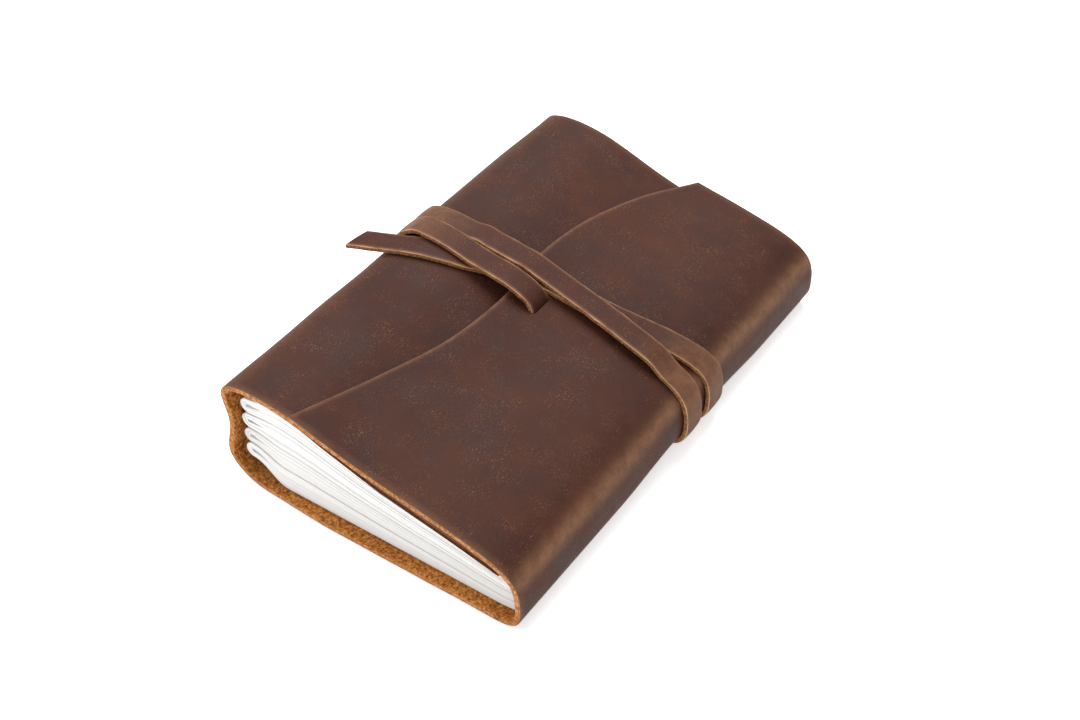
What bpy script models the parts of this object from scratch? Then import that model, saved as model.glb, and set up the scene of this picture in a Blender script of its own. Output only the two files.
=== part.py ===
"""A leather notebook cover: one hide folded round four sewn signatures of paper, its flap brought
over the front cover, and a long strap that comes out of a slit in the flap and goes twice round.

The book lies on its back cover. X runs from the spine to the fore-edge, Y along the spine and Z up.
The origin is at the middle of the bounding box's underside.
"""

import math

import bmesh
import bpy
import numpy as np

MM = 0.001

# Driving dimensions, in millimetres
HIDE = 2.2  # thickness of the leather
BODY_HALF = 87.5  # half the length of the back cover, fore-edge and flap
COVER_HALF = 85.7  # the front cover and spine were cut a little shorter
PAGE_HALF = 83.3  # half the height of the pages
PAGE_END = 50.0  # where the pages' front edges are, from the middle of the cover
CLEAR = 0.3  # air between pieces that touch
STRAP_WIDE = 8.8
STRAP = 1.8  # thickness of the strap
THREAD = 0.4  # radius of the sewing thread
HOLE = 0.75  # radius of the awl's holes

# The outside of the hide seen from its near end, as (x, z). Each panel ends where the next begins.
OUTLINE = {
    "front_cover": [
        (46.5, 18.9),
        (37, 20.9),
        (27, 23.1),
        (17, 25.1),
        (6, 27.4),
        (-4, 30.0),
        (-12, 32.6),
        (-20, 35.4),
        (-27, 37.5),
        (-34, 38.7),
        (-41, 39.2),
        (-47, 38.7),
    ],
    "spine_cover": [
        (-51.6, 36.8),
        (-53.6, 33.4),
        (-53.1, 29.2),
        (-52.0, 24.6),
        (-52.1, 19.4),
        (-53.3, 13.6),
        (-53.6, 9.2),
    ],
    "back_cover": [(-51.7, 5.2), (-48, 2.2), (-43, 0.5), (-37, 0), (-28, 0), (44, 0), (49.5, 0.2)],
    "fore_edge_cover": [(52.9, 1.9), (54.5, 5), (54.8, 9.5), (54.4, 14)],
    "flap": [
        (52.9, 18.2),
        (50.2, 21.0),
        (46, 23.3),
        (40, 25.3),
        (32, 27.2),
        (24, 28.9),
        (16, 30.4),
        (8, 31.9),
        (-1, 33.9),
        (-10, 36.1),
        (-18, 38.3),
        (-26, 40.6),
        (-32, 42.3),
    ],
}
SPAN = 3.4  # length of a facet where the leather bends
MOST_FACETS = 3  # facets between two points of the outline

# The flap's free edge in plan, as (y, x)
FLAP_EDGE = [
    (-87.5, -25.3),
    (-58, -17),
    (-32, -10.6),
    (-5, -8.6),
    (20, -10.8),
    (42, -8.7),
    (67, -1.5),
    (87.5, 8.5),
]
# Where the leather has a row of vertices along the spine
ROWS = [-87.5, -68, -50, -34.5, -26, -18, -10, -3, 5, 14, 24, 32, 40, 48, 55.5, 70, 87.5]

# The strap's pull presses the underside in, so the book still lies flat on its back cover.
PRESS = 2.2  # how far it presses in
PRESS_FROM, PRESS_TO = -3.0, 24.0  # y where it presses in fully
PRESS_FADE = 31.5  # length over which that fades out on either side
PRESS_TOP = 40.0  # height at which nothing is pressed in

# Signatures: four folded bundles, sewn through their folds
SIGNATURES = 4
FOLD_X = -45.4  # centre of each fold
FOLD_Z = 12.0
FOLD_PITCH = 6.1
FOLD_R = 2.75
CHANNEL_R = 1.0  # hollow inside the fold, where the thread lies
SPREAD = 0.3  # air in the middle of a bundle
BLOCK_FROM = -33.0  # from here on the bundles lie flat on each other
STITCH_HOLES = [-64.0, -36.0, 36.0, 64.0]
PAGE_ROWS = [-83.3, -50, -34.5, -24, -13, -3, 10, 24, 34.5, 45, 55.5, 83.3]

# Strap: where its middle runs, as (x, y), from the slit on
SLIT_X, SLIT_Y = 1.0, 0.4
SLIT_WIDE, SLIT_LONG = 3.6, 10.2
FIRST_TURN = [(14, 0.4), (1, 0.1), (-4, 0.4), (-12, 1.2), (-24, 2.2), (-36, 3.0), (-48, 3.5), (-54, 3.6)]
SECOND_TURN = [(55, 4.6), (46, 4.8), (34, 6.2), (22, 7.9), (10, 9.4), (-4, 10.6), (-24, 11.8), (-54, 12.9)]
LAST_TURN = [
    (55, 17.9),
    (46, 15.8),
    (38, 14.4),
    (30, 12.9),
    (22, 11.4),
    (14, 10.6),
    (5, 10.2),
    (0, 9.9),
    (-4, 9.2),
    (-12, 6.4),
    (-24, 1.7),
    (-36, -2.8),
    (-44, -5.6),
    (-52, -8.1),
    (-64, -11.7),
]
BRIDGE = (-10.2, -25.0)  # the strap leaves the flap's edge and meets the front cover again
RISE = STRAP + CLEAR  # how much higher one turn lies on another
RAMP = 8.0
FIRST_OVER = (-45.0, 20.0)  # the first turn lies on the tail from here to here
SECOND_OVER = (-27.0, 39.0)
TAIL_LEAVES = -46.0  # the tail goes straight on over the spine
TAIL_TIP = [(-53.0, 39.4), (-64.0, 38.2)]
TIP_CUT = 4.2  # the tip's far corner is cut back by this
TIP_LONG = 12.0  # the length of the tail that is drawn in for it
SLIT_CLIMB = [
    (14.0, -3.6),
    (9.0, -3.6),
    (6.0, -3.75),
    (4.0, -3.6),
    (2.9, -3.4),
    (2.1, -2.5),
    (1.6, -1.2),
    (1.2, 0.2),
    (0.6, 1.2),
    (-0.6, 2.1),
    (-2.8, 2.9),
]


# Curves ---------------------------------------------------------------------------------------


def smooth(points, facets=None):
    """A smooth curve through the points, as an array of (x, z)."""
    p = np.array(points, float)
    step = np.linalg.norm(np.diff(p, axis=0), axis=1)
    t = np.concatenate([[0], np.cumsum(step)])
    slope = np.gradient(p, t, axis=0)
    curve = []
    for i, length in enumerate(step):
        count = facets or min(max(round(length / SPAN), 1), MOST_FACETS)
        for u in np.arange(count) / count:
            start = (2 * u**3 - 3 * u**2 + 1) * p[i] + (u**3 - 2 * u**2 + u) * length * slope[i]
            end = (3 * u**2 - 2 * u**3) * p[i + 1] + (u**3 - u**2) * length * slope[i + 1]
            curve.append(start + end)
    return np.array([*curve, p[-1]])


def lengths(path):
    """How far along the path each of its points is."""
    return np.concatenate([[0], np.cumsum(np.linalg.norm(np.diff(path, axis=0), axis=1))])


def normals(path):
    """The outward side of a path that runs over the top to the spine, down it and back under."""
    tangent = np.gradient(path, lengths(path), axis=0)
    tangent /= np.linalg.norm(tangent, axis=1)[:, None]
    return np.stack([tangent[:, 1], -tangent[:, 0]], axis=1)


def pick(values, path, s):
    """Values known at the path's points, read at distances s along it."""
    at = lengths(path)
    return np.stack([np.interp(s, at, values[:, k]) for k in range(values.shape[1])], axis=-1)


def table(pairs, x):
    """Reads a list of (x, value) pairs at x, in whichever order the list runs."""
    pairs = sorted(pairs)
    return np.interp(x, [a for a, _ in pairs], [b for _, b in pairs])


def ease(u):
    u = np.clip(u, 0, 1)
    return u * u * (3 - 2 * u)


def squeeze(points):
    """Presses the underside in where the strap goes round."""
    out = np.array(points, float)
    away = np.maximum(PRESS_FROM - out[..., 1], out[..., 1] - PRESS_TO)
    press = PRESS * ease(1 - away / PRESS_FADE)
    out[..., 2] += press * np.clip(1 - out[..., 2] / PRESS_TOP, 0, 1)
    return out


def hide_paths():
    """The outside of each panel of the hide, cut from one smooth curve."""
    whole = smooth([point for panel in OUTLINE.values() for point in panel])
    whole[:, 1] = np.maximum(whole[:, 1], 0)
    starts = [int(np.argmin(np.linalg.norm(whole - panel[0], axis=1))) for panel in OUTLINE.values()]
    ends = [*starts[1:], len(whole) - 1]
    return {name: whole[a : b + 1] for name, a, b in zip(OUTLINE, starts, ends)}, whole


PATHS, WHOLE = hide_paths()
WHOLE_NORMALS = normals(WHOLE)


# Solids ---------------------------------------------------------------------------------------


def make_object(name, points, faces, pivot):
    """A mesh object with its origin on its joint's axis. pivot is (x, z) in millimetres."""
    origin = np.array([pivot[0], 0, pivot[1]])
    mesh = bpy.data.meshes.new(name)
    mesh.from_pydata(((points - origin) * MM).tolist(), [], faces)
    bm = bmesh.new()
    bm.from_mesh(mesh)
    bmesh.ops.recalc_face_normals(bm, faces=bm.faces)
    bm.to_mesh(mesh)
    bm.free()
    obj = bpy.data.objects.new(name, mesh)
    obj.location = origin * MM
    bpy.context.collection.objects.link(obj)
    return obj


def shell(name, outer, inner, pivot):
    """A closed solid between two grids of points."""
    n, m = outer.shape[:2]
    points = np.concatenate([outer.reshape(-1, 3), inner.reshape(-1, 3)])
    a = np.arange(n * m).reshape(n, m)
    b = a + n * m
    faces = []
    for i in range(n - 1):
        for j in range(m - 1):
            faces.append([a[i, j], a[i, j + 1], a[i + 1, j + 1], a[i + 1, j]])
            faces.append([b[i, j], b[i + 1, j], b[i + 1, j + 1], b[i, j + 1]])
    rim = [a[0, j] for j in range(m)] + [a[i, -1] for i in range(1, n)]
    rim += [a[-1, j] for j in range(m - 2, -1, -1)] + [a[i, 0] for i in range(n - 2, 0, -1)]
    for here, there in zip(rim, rim[1:] + rim[:1]):
        faces.append([here, there, there + n * m, here + n * m])
    return make_object(name, points, [[int(v) for v in face] for face in faces], pivot)


def strip(name, path, side, s, y, low, high, pivot):
    """A bent strip of leather. s and y say, for each row and column, how far along the path and
    how far along the spine a point is, and low and high how far its two faces are off the path."""
    base, out = pick(path, path, s), pick(side, path, s)
    faces = []
    for off in (high, low):
        flat = base + out * np.broadcast_to(off, s.shape)[..., None]
        faces.append(squeeze(np.stack([flat[..., 0], y, flat[..., 1]], axis=-1)))
    return shell(name, *faces, pivot)


def material(name, colour, rough):
    finish = bpy.data.materials.new(name)
    finish.use_nodes = True
    shader = finish.node_tree.nodes["Principled BSDF"]
    shader.inputs["Base Color"].default_value = (*colour, 1)
    shader.inputs["Roughness"].default_value = rough
    shader.inputs["Metallic"].default_value = 0
    return finish


def dress(obj, finish):
    obj.data.materials.append(finish)
    return obj


def cut(obj, cutter):
    cutter.hide_render = True
    cutter.display_type = "WIRE"
    boolean = obj.modifiers.new("cut", "BOOLEAN")
    boolean.operation = "DIFFERENCE"
    boolean.object = cutter


# The hide -------------------------------------------------------------------------------------


def half_length(name, s, total):
    """Half the hide's length along the spine, s along a panel."""
    if name in ("front_cover", "spine_cover"):
        return np.full_like(s, COVER_HALF)
    if name == "back_cover":
        return COVER_HALF + (BODY_HALF - COVER_HALF) * ease(s / (0.4 * total))
    return np.full_like(s, BODY_HALF)


def hide_panel(name, finish):
    path = PATHS[name]
    first = int(np.argmin(np.linalg.norm(WHOLE - path[0], axis=1)))
    side = WHOLE_NORMALS[first : first + len(path)]
    s = lengths(path)
    total = s[-1]
    start = 0 if name == "front_cover" else CLEAR / 2
    end = total if name == "flap" else total - CLEAR / 2
    u = (s / total)[:, None]
    rows = np.array(ROWS)
    ends = np.full(len(rows), end)
    if name == "flap":
        edge_y, edge_x = smooth(FLAP_EDGE, 6).T
        ends = np.interp(-np.interp(rows, edge_y, edge_x), -path[:, 0], s)
    grid = start + (ends[None, :] - start) * u
    y = rows[None, :] / BODY_HALF * half_length(name, grid, total)
    pivot = tuple(path[0]) if name != "front_cover" else tuple(path[-1])
    if name == "back_cover":
        pivot = (0, 0)
    if name == "spine_cover":
        pivot = tuple(path[-1])
    return dress(strip(name, path, side, grid, y, -HIDE, 0, pivot), finish)


def flap_slit(flap):
    z = float(np.interp(-SLIT_X, -PATHS["flap"][:, 0], PATHS["flap"][:, 1]))
    bpy.ops.mesh.primitive_cube_add(size=1, location=(SLIT_X * MM, SLIT_Y * MM, z * MM))
    cutter = bpy.context.active_object
    cutter.name = "slit_cutter"
    cutter.scale = (SLIT_WIDE * MM, SLIT_LONG * MM, 4 * HIDE * MM)
    bpy.ops.object.transform_apply(location=False, rotation=False, scale=True)
    cut(flap, cutter)


# Pages and sewing -----------------------------------------------------------------------------


def inside(panel, x):
    """Height of a panel's inner face at x."""
    path = PATHS[panel]
    first = int(np.argmin(np.linalg.norm(WHOLE - path[0], axis=1)))
    inner = path - HIDE * WHOLE_NORMALS[first : first + len(path)]
    inner = inner[np.argsort(inner[:, 0])]
    return np.interp(x, inner[:, 0], inner[:, 1])


def leaf_surface(k, x, fold_z):
    """The surface between bundles k and k + 1, which is nearer the fold fold_z at the spine."""
    low = inside("back_cover", x) + 1.3 * CLEAR
    high = inside("front_cover", x) - 1.3 * CLEAR
    flat = low + (high - low) * k / SIGNATURES
    near = ease((x - FOLD_X) / (BLOCK_FROM - FOLD_X))
    return fold_z + (flat - fold_z) * near


def arc(centre, radius, start, stop, count):
    angle = np.radians(np.linspace(start, stop, count))
    return np.stack([centre[0] + radius * np.cos(angle), centre[1] + radius * np.sin(angle)], axis=1)


def signature_section(k):
    """A folded bundle seen from its end: a thick sheet folded at the spine, open at the fore-edge."""
    z = FOLD_Z + k * FOLD_PITCH
    along = np.array([FOLD_X + 0.8, -43, -41, -39, -37, -35, -33, -28, -22, -12, 0, 14, 28, 38, 45.6, PAGE_END])
    gap = CLEAR * 0.55 if k else 0
    top_gap = CLEAR * 0.55 if k < SIGNATURES - 1 else 0
    under = np.stack([along, leaf_surface(k, along, z - FOLD_R) + gap], axis=1)
    over = np.stack([along, leaf_surface(k + 1, along, z + FOLD_R) - top_gap], axis=1)
    middle = (under[:, 1] + over[:, 1]) / 2
    spread = 5  # the hollow in the fold ends where the two halves meet
    low_half = np.stack([along, middle - SPREAD / 2], axis=1)[spread:]
    high_half = np.stack([along, middle + SPREAD / 2], axis=1)[spread:]
    return np.concatenate(
        [
            arc((FOLD_X, z), FOLD_R, 90, 270, 9),
            under,
            low_half[::-1],
            arc((FOLD_X, z), CHANNEL_R, -22, -338, 9),
            high_half,
            over[::-1],
        ]
    )


def signature(k, paper):
    """The section drawn out along the spine, with holes through its fold for the thread."""
    section = signature_section(k)
    n, m = len(section), len(PAGE_ROWS)
    grid = np.stack([np.column_stack([section[:, 0], np.full(n, y), section[:, 1]]) for y in PAGE_ROWS])
    points = squeeze(grid).reshape(-1, 3)
    faces = [
        [r * n + c, r * n + (c + 1) % n, (r + 1) * n + (c + 1) % n, (r + 1) * n + c]
        for r in range(m - 1)
        for c in range(n)
    ]
    faces += [list(range(n))[::-1], list(range((m - 1) * n, m * n))]
    pivot = (FOLD_X, FOLD_Z + k * FOLD_PITCH)
    obj = dress(make_object(f"signature_{k + 1}", points, faces, pivot), paper)
    cut(obj, awl(f"fold_awl_{k + 1}", [k], FOLD_X - FOLD_R - 1, FOLD_X))
    return obj


def awl(name, bundles, x_from, x_to):
    """Round cutters along X, one for each sewing hole."""
    bm = bmesh.new()
    for k in bundles:
        for y in STITCH_HOLES:
            at = squeeze(np.array([(x_from + x_to) / 2, y, FOLD_Z + k * FOLD_PITCH])) * MM
            made = bmesh.ops.create_cone(
                bm,
                cap_ends=True,
                segments=8,
                radius1=HOLE * MM,
                radius2=HOLE * MM,
                depth=(x_to - x_from) * MM,
            )
            for v in made["verts"]:
                x, y0, z = v.co
                v.co = (z + at[0], y0 + at[1], at[2] - x)
    mesh = bpy.data.meshes.new(name)
    bm.to_mesh(mesh)
    bm.free()
    obj = bpy.data.objects.new(name, mesh)
    bpy.context.collection.objects.link(obj)
    return obj


def spine_outside(z):
    path = PATHS["spine_cover"]
    return float(np.interp(-z, -path[:, 1], path[:, 0]))


def thread(k, linen):
    """One thread: in at the outer holes, along the outside to the next, and inside the fold."""
    z = FOLD_Z + k * FOLD_PITCH
    out = spine_outside(z) - CLEAR - THREAD
    first, second, third, last = STITCH_HOLES
    turn = 0.7

    def hole(y, outwards, step):
        """The points where the thread turns through the hole at y, going on towards step."""
        way = [
            (FOLD_X, y - step * turn),
            (FOLD_X - 0.25, y - 0.15 * step),
            (FOLD_X - 0.9, y),
            (out + 0.9, y),
            (out + 0.25, y + 0.15 * step),
            (out, y + step * turn),
        ]
        if outwards:
            return way
        return [(x, 2 * y - other) for x, other in way][::-1]

    def run(x, y_from, y_to):
        return [(x, y) for y in np.linspace(y_from, y_to, 6)[1:-1]]

    route = [(FOLD_X, first - 9)]
    route += hole(first, True, 1) + run(out, first, second) + hole(second, False, 1)
    route += run(FOLD_X, second, third)
    route += hole(third, True, 1) + run(out, third, last) + hole(last, False, 1)
    route += [(FOLD_X, last + 9)]
    points = squeeze(np.array([(x, y, z) for x, y in route])) * MM
    curve = bpy.data.curves.new(f"thread_{k + 1}", "CURVE")
    curve.dimensions = "3D"
    curve.bevel_depth = THREAD * MM
    curve.bevel_resolution = 1
    curve.use_fill_caps = True
    spline = curve.splines.new("POLY")
    spline.points.add(len(points) - 1)
    for point, at in zip(spline.points, points):
        point.co = (*at, 1)
    obj = bpy.data.objects.new(f"thread_{k + 1}", curve)
    bpy.context.collection.objects.link(obj)
    return dress(obj, linen)


# The strap ------------------------------------------------------------------------------------


def over_top():
    """What the strap lies on between the fore-edge and the spine, from right to left."""
    flap, front = PATHS["flap"], PATHS["front_cover"]
    return np.concatenate([flap[flap[:, 0] > BRIDGE[0]], front[front[:, 0] < BRIDGE[1]]])


def window(x, span):
    """1 inside the span of x, falling to 0 within RAMP outside it."""
    return ease(1 - np.maximum(span[0] - x, x - span[1]) / RAMP)


def strap_link(name, path, lift, across, finish, end_cut=0.0, gap_start=True, gap_end=True):
    """One stretch of the strap between two bends. lift is how far its middle is off the path."""
    path, lift, across = np.array(path), np.array(lift, float), np.array(across, float)
    middle = path + normals(path) * lift[:, None]
    total = lengths(middle)[-1]
    start = CLEAR / 2 if gap_start else 0
    end = total - (CLEAR / 2 if gap_end else 0)
    s = start + (end - start) * lengths(middle) / total
    far = s - end_cut * np.clip((s - end) / TIP_LONG + 1, 0, 1)
    y = np.stack([across - STRAP_WIDE / 2, across + STRAP_WIDE / 2], axis=1)
    side = normals(middle)
    pivot = tuple(middle[0] + side[0] * STRAP / 2)
    grid = np.stack([s, far], axis=1)
    return dress(strip(name, middle, side, grid, y, -STRAP / 2, STRAP / 2, pivot), finish)


def strap(finish):
    top = over_top()
    base = STRAP / 2 + CLEAR
    spine, back, fore = PATHS["spine_cover"], PATHS["back_cover"], PATHS["fore_edge_cover"]
    # The strap is taut, so it goes straight down past the hollow of the spine.
    taut = np.concatenate([spine[:3], spine[-3:]])

    # First turn: from under the flap, up through the slit and over to the spine
    flap = PATHS["flap"]
    sides = normals(flap)
    climb = []
    for x, off in SLIT_CLIMB:
        at = np.array([np.interp(-x, -flap[:, 0], flap[:, k]) for k in (0, 1)])
        out = np.array([np.interp(-x, -flap[:, 0], sides[:, k]) for k in (0, 1)])
        climb.append(at + out * off)
    rest = top[top[:, 0] < -5]
    rest = rest + normals(rest) * (base + RISE * window(rest[:, 0], FIRST_OVER))[:, None]
    route = np.concatenate([climb, rest])
    across = table(FIRST_TURN, route[:, 0])
    strap_link("strap_top_1", route, np.zeros(len(route)), across, finish, gap_start=False)

    def turn(number, y_spine, y_fore):
        """Down the spine, under the book and up the fore-edge."""
        stretches = [("spine", taut, y_spine, y_spine), ("under", back, y_spine, y_fore)]
        stretches += [("fore_edge", fore, y_fore, y_fore)]
        for part, path, y_start, y_end in stretches:
            y = np.interp(lengths(path), [0, lengths(path)[-1]], [y_start, y_end])
            strap_link(f"strap_{part}_{number}", path, np.full(len(path), base), y, finish)

    turn(1, FIRST_TURN[-1][1], SECOND_TURN[0][1])
    over = base + RISE * window(top[:, 0], SECOND_OVER)
    strap_link("strap_top_2", top, over, table(SECOND_TURN, top[:, 0]), finish)
    turn(2, SECOND_TURN[-1][1], LAST_TURN[0][1])
    route = np.concatenate([top[top[:, 0] > TAIL_LEAVES], [np.array(p) for p in TAIL_TIP]])
    across = table(LAST_TURN, route[:, 0])
    lift = np.full(len(route), base)
    lift[-2:] = 0
    strap_link("strap_tail", route, lift, across, finish, end_cut=TIP_CUT, gap_end=False)


# The whole book -------------------------------------------------------------------------------


def recentre():
    """Moves the whole object so that the middle of its underside is the origin."""
    bpy.context.view_layer.update()
    graph = bpy.context.evaluated_depsgraph_get()
    corners = []
    for obj in bpy.context.scene.objects:
        if obj.type in ("MESH", "CURVE") and not obj.hide_render:
            solid = obj.evaluated_get(graph)
            corners += [solid.matrix_world @ v.co for v in solid.to_mesh().vertices]
    x = [c.x for c in corners]
    shift = -(min(x) + max(x)) / 2
    for obj in bpy.context.scene.objects:
        obj.location.x += shift


def main():
    for obj in list(bpy.data.objects):
        bpy.data.objects.remove(obj, do_unlink=True)
    hide = material("hide", (0.10, 0.052, 0.040), 0.5)
    strap_hide = material("strap_hide", (0.12, 0.065, 0.045), 0.55)
    paper = material("paper", (0.88, 0.87, 0.84), 0.9)
    linen = material("linen", (0.75, 0.68, 0.55), 0.8)
    panels = {name: hide_panel(name, hide) for name in OUTLINE}
    flap_slit(panels["flap"])
    holes = awl("spine_awl", range(SIGNATURES), -58, FOLD_X - FOLD_R)
    cut(panels["spine_cover"], holes)
    for k in range(SIGNATURES):
        signature(k, paper)
        thread(k, linen)
    strap(strap_hide)
    recentre()


main()
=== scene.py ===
# %% [markdown]
# # A leather notebook cover, tied shut
# One long piece of oiled hide is folded round four sewn bundles of paper. Its last part, the flap,
# comes over the front cover, and a strap that starts in a slit in the flap goes round twice.
#
# Everything here is built along one drawn line: the outside of the hide, seen from the near end.
# The hide, the strap, the pages and the thread all take their places from it, so they fit.

import math

import bmesh
import bpy
import numpy as np
from mathutils import Matrix, Vector, noise


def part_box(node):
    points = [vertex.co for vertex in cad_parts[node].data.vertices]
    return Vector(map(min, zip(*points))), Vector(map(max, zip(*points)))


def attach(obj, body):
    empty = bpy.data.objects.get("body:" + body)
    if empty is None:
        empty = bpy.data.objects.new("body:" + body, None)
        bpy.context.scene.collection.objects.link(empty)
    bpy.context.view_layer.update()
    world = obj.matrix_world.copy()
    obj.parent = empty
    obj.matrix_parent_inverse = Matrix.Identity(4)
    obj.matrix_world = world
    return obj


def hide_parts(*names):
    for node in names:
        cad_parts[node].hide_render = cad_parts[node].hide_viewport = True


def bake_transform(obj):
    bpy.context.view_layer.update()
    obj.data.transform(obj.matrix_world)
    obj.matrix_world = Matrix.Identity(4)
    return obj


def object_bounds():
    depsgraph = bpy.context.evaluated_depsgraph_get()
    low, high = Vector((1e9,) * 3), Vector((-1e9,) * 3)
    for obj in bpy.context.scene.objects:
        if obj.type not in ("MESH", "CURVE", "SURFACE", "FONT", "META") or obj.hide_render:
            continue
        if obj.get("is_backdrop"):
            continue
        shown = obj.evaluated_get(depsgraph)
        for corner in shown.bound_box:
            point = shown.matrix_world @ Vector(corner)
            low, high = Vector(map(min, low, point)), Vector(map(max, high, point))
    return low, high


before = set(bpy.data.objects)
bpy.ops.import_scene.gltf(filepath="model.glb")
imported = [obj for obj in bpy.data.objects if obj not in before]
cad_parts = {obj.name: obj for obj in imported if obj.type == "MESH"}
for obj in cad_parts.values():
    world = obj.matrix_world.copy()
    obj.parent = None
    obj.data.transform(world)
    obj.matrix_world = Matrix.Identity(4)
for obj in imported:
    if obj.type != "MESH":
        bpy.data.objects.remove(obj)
cad_box = [list(corner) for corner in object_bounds()]

# %% [markdown]
# ## Sizes
# Lengths are in millimetres, because that is how a leather worker measures, and they turn into
# metres only when a mesh is made. The book's middle is a little to one side of the frame's middle,
# because the strap sticks out past the spine. The front edge of the pages shows by how much.

# %% Sizes and the book's middle
MM = 0.001
PAGE_END = 50.0
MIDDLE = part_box("signature_1")[1][0] / MM - PAGE_END
HIDE = 2.2
BODY_HALF, COVER_HALF, PAGE_HALF = 87.5, 85.7, 83.3
STRAP, STRAP_WIDE = 1.8, 8.8
print(f"the book's middle is {MIDDLE:.2f} mm from the frame's")

# %% [markdown]
# ## Camera
# A camera needs a place, a direction and a lens. It looks down at the near end and the fore-edge.
# The columns of a camera's matrix are its right, its up and its backwards, so a small roll is a
# turn of the first two about the third.

# %% Camera
AZIMUTH, ELEVATION, ROLL = math.radians(-33.45), math.radians(42.14), math.radians(0.83)
level = Vector((math.sin(AZIMUTH), math.cos(AZIMUTH), 0))
ahead = level * math.cos(ELEVATION) - Vector((0, 0, math.sin(ELEVATION)))
right = Vector((math.cos(AZIMUTH), -math.sin(AZIMUTH), 0))
above = right.cross(ahead)
rolled_right = right * math.cos(ROLL) + above * math.sin(ROLL)
rolled_up = above * math.cos(ROLL) - right * math.sin(ROLL)
camera = bpy.data.objects.new("camera", bpy.data.cameras.new("camera"))
camera.data.lens = 55.1
camera.data.sensor_width = 36
camera.data.clip_start = 0.01
turn = Matrix((rolled_right, rolled_up, -ahead)).transposed().to_4x4()
camera.matrix_world = Matrix.Translation(Vector((218.5 + MIDDLE, -327.5, 366.1)) * MM) @ turn
bpy.context.collection.objects.link(camera)
bpy.context.scene.camera = camera
print("camera at", [round(v, 3) for v in camera.matrix_world.translation])

# %% [markdown]
# ## The line that the hide follows
# The hide's outside is a smooth curve through a few points, panel by panel: over the front cover to
# the spine, down it, back under, up the fore-edge and over again as the flap. A cubic Hermite curve
# passes through every point with no corner, and it is easy to sample as finely as a mesh needs.

# %% The outline, as (x, z)
OUTLINE = {
    "front": [(46.5, 18.9), (37, 20.9), (27, 23.1), (17, 25.1), (6, 27.4), (-4, 30.0), (-12, 32.6)]
    + [(-20, 35.4), (-27, 37.5), (-34, 38.7), (-41, 39.2), (-47, 38.7)],
    "spine": [(-51.6, 36.8), (-53.6, 33.4), (-53.1, 29.2), (-52.0, 24.6), (-52.1, 19.4)]
    + [(-53.3, 13.6), (-53.6, 9.2)],
    "back": [(-51.7, 5.2), (-48, 2.2), (-43, 0.5), (-37, 0), (-28, 0), (44, 0), (49.5, 0.2)],
    "fore_edge": [(52.9, 1.9), (54.5, 5), (54.8, 9.5), (54.4, 14)],
    "flap": [(52.9, 18.2), (50.2, 21.0), (46, 23.3), (40, 25.3), (32, 27.2), (24, 28.9), (16, 30.4)]
    + [(8, 31.9), (-1, 33.9), (-10, 36.1), (-18, 38.3), (-26, 40.6), (-32, 42.3)],
}


def smooth(points, step):
    """A smooth curve through the points, with a point about every step millimetres."""
    p = np.array(points, float)
    gaps = np.linalg.norm(np.diff(p, axis=0), axis=1)
    slope = np.gradient(p, np.concatenate([[0], np.cumsum(gaps)]), axis=0)
    curve = []
    for i, gap in enumerate(gaps):
        count = max(round(gap / step), 1)
        for u in np.arange(count) / count:
            near = (2 * u**3 - 3 * u**2 + 1) * p[i] + (u**3 - 2 * u**2 + u) * gap * slope[i]
            far = (3 * u**2 - 2 * u**3) * p[i + 1] + (u**3 - u**2) * gap * slope[i + 1]
            curve.append(near + far)
    return np.array([*curve, p[-1]])


def lengths(path):
    """How far along the path each of its points is."""
    return np.concatenate([[0], np.cumsum(np.linalg.norm(np.diff(path, axis=0), axis=1))])


def outward(path):
    """The side of the path that faces away from the book."""
    along = np.gradient(path, lengths(path), axis=0)
    along /= np.linalg.norm(along, axis=1)[:, None]
    return np.stack([along[:, 1], -along[:, 0]], axis=1)


hide_path = smooth([point for panel in OUTLINE.values() for point in panel], 0.8)
hide_path[:, 1] = np.maximum(hide_path[:, 1], 0)
hide_side = outward(hide_path)
hide_length = lengths(hide_path)


def reach(x, z):
    """How far along the hide the point nearest (x, z) is."""
    return float(hide_length[np.argmin(np.hypot(hide_path[:, 0] - x, hide_path[:, 1] - z))])


BENDS = {name: reach(*panel[0]) for name, panel in OUTLINE.items()}
print("the hide is", round(hide_length[-1]), "mm round, and bends at", [round(s) for s in BENDS.values()])

# %% [markdown]
# ## How the strap presses
# A taut strap presses the hide in where it goes under the book. One rule lifts every point of the
# underside near the strap, so that hide, pages, thread and strap all give in the same way.

# %% The press of the strap
PRESS, PRESS_FROM, PRESS_TO, PRESS_FADE, PRESS_TOP = 2.2, -3.0, 24.0, 31.5, 40.0


def ease(u):
    """0 to 1 with a soft start and a soft end."""
    u = np.clip(u, 0, 1)
    return u * u * (3 - 2 * u)


def pressed(points):
    """Lifts points near the strap's runs under the book."""
    out = np.array(points, float)
    away = np.maximum(PRESS_FROM - out[..., 1], out[..., 1] - PRESS_TO)
    lift = PRESS * ease(1 - away / PRESS_FADE)
    out[..., 2] += lift * np.clip(1 - out[..., 2] / PRESS_TOP, 0, 1)
    return out


# %% [markdown]
# ## A band of leather
# The hide's panels and the strap are the same kind of thing: a long band with a thickness and
# slightly rounded edges. The builder makes a ring of points round the band's section at each
# station, joins the rings, and closes both ends. Faces of the outside get the grain, those of the
# inside the flesh and those round the rim the cut edge.

# %% The band builder
ROUND = np.radians([22.5, 45, 67.5, 90])
GRAIN, FLESH, CUT = 0, 1, 2
ROUNDED = 0.86  # thinner than this share of the full thickness, a face belongs to the rounded rim


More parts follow.
